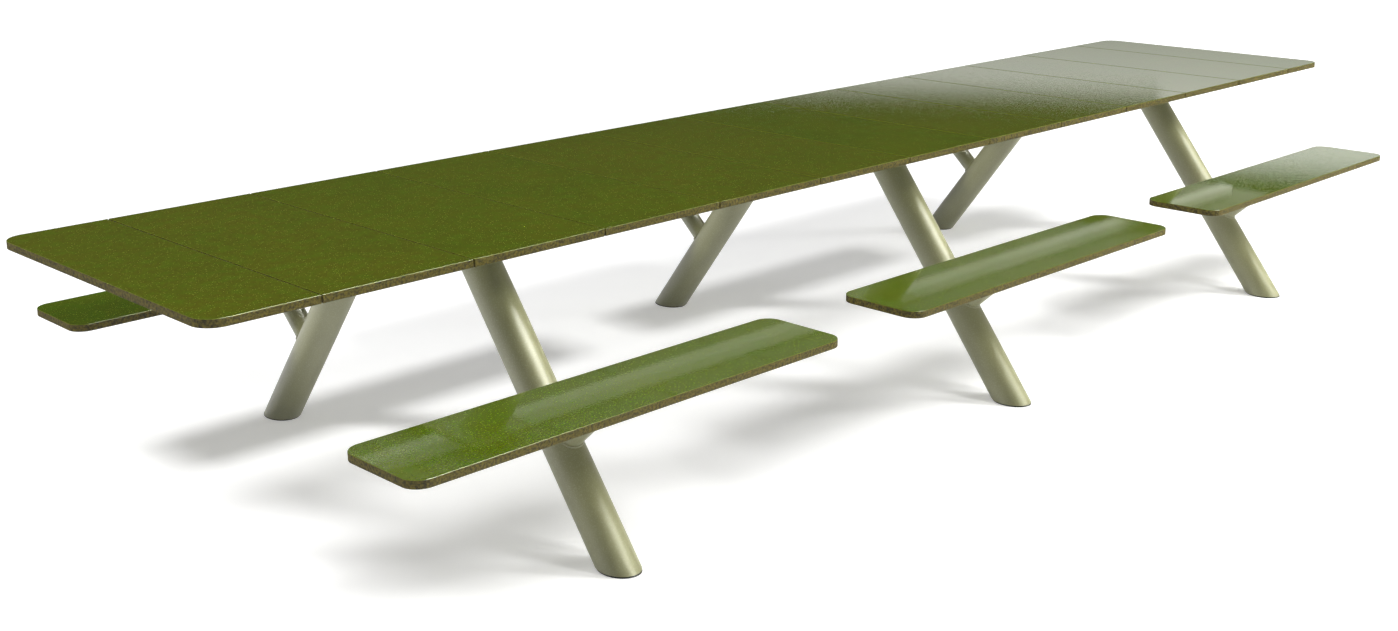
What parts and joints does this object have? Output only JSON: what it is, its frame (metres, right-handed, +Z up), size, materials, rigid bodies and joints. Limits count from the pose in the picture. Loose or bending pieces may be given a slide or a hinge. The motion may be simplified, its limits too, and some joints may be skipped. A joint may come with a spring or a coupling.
{
  "type": "picnic table",
  "caption": "Long picnic table with a top of glazed stone slabs on leaning tube trestles, whose branch arms carry short bench slabs along both sides.",
  "frame": {"origin": "on the floor, under the middle of the table top", "axes": "+X along the table, +Y across it to the far row of benches, +Z up"},
  "size_m": [5, 1.754, 0.75],
  "materials": {
    "glazed_stone": "enamel glaze fired on lava stone: deep moss green, fine speckle and crackle, high gloss, with olive-brown edges",
    "painted_steel": "satin champagne powder coat with fine metallic flake",
    "black_rubber": "matte black bedding strip",
    "black_plastic": "moulded black plastic, fine matte grain",
    "zinc_steel": "zinc-plated steel"
  },
  "bodies": {
    "root": {"top_slab_01": "glazed_stone", "top_slab_02": "glazed_stone", "top_slab_03": "glazed_stone", "top_slab_04": "glazed_stone", "top_slab_05": "glazed_stone", "top_slab_06": "glazed_stone", "top_slab_07": "glazed_stone", "top_slab_08": "glazed_stone", "top_slab_09": "glazed_stone", "top_slab_10": "glazed_stone", "top_slab_11": "glazed_stone", "top_slab_12": "glazed_stone", "top_slab_13": "glazed_stone", "bench_slab_near_1": "glazed_stone", "bench_slab_near_2": "glazed_stone", "bench_slab_near_3": "glazed_stone", "bench_slab_far_1": "glazed_stone", "bench_slab_far_2": "glazed_stone", "bench_slab_far_3": "glazed_stone", "leg_near_1": "painted_steel", "leg_near_2": "painted_steel", "leg_near_3": "painted_steel", "leg_far_1": "painted_steel", "leg_far_2": "painted_steel", "leg_far_3": "painted_steel", "bench_arm_near_1": "painted_steel", "bench_arm_near_2": "painted_steel", "bench_arm_near_3": "painted_steel", "bench_arm_far_1": "painted_steel", "bench_arm_far_2": "painted_steel", "bench_arm_far_3": "painted_steel", "bench_bearer_near_1": "painted_steel", "bench_bearer_near_2": "painted_steel", "bench_bearer_near_3": "painted_steel", "bench_bearer_far_1": "painted_steel", "bench_bearer_far_2": "painted_steel", "bench_bearer_far_3": "painted_steel", "trestle_head_1": "painted_steel", "trestle_head_2": "painted_steel", "trestle_head_3": "painted_steel", "top_rail_near": "painted_steel", "top_rail_far": "painted_steel", "bench_bedding_near_1": "black_rubber", "bench_bedding_near_2": "black_rubber", "bench_bedding_near_3": "black_rubber", "bench_bedding_far_1": "black_rubber", "bench_bedding_far_2": "black_rubber", "bench_bedding_far_3": "black_rubber", "rail_bedding_near": "black_rubber", "rail_bedding_far": "black_rubber", "foot_glide_near_1": "black_plastic", "foot_glide_near_2": "black_plastic", "foot_glide_near_3": "black_plastic", "foot_glide_far_1": "black_plastic", "foot_glide_far_2": "black_plastic", "foot_glide_far_3": "black_plastic", "rail_end_caps": "black_plastic", "head_bolts": "zinc_steel", "head_washers": "zinc_steel", "rail_nuts": "zinc_steel"}
  },
  "joints": []
}
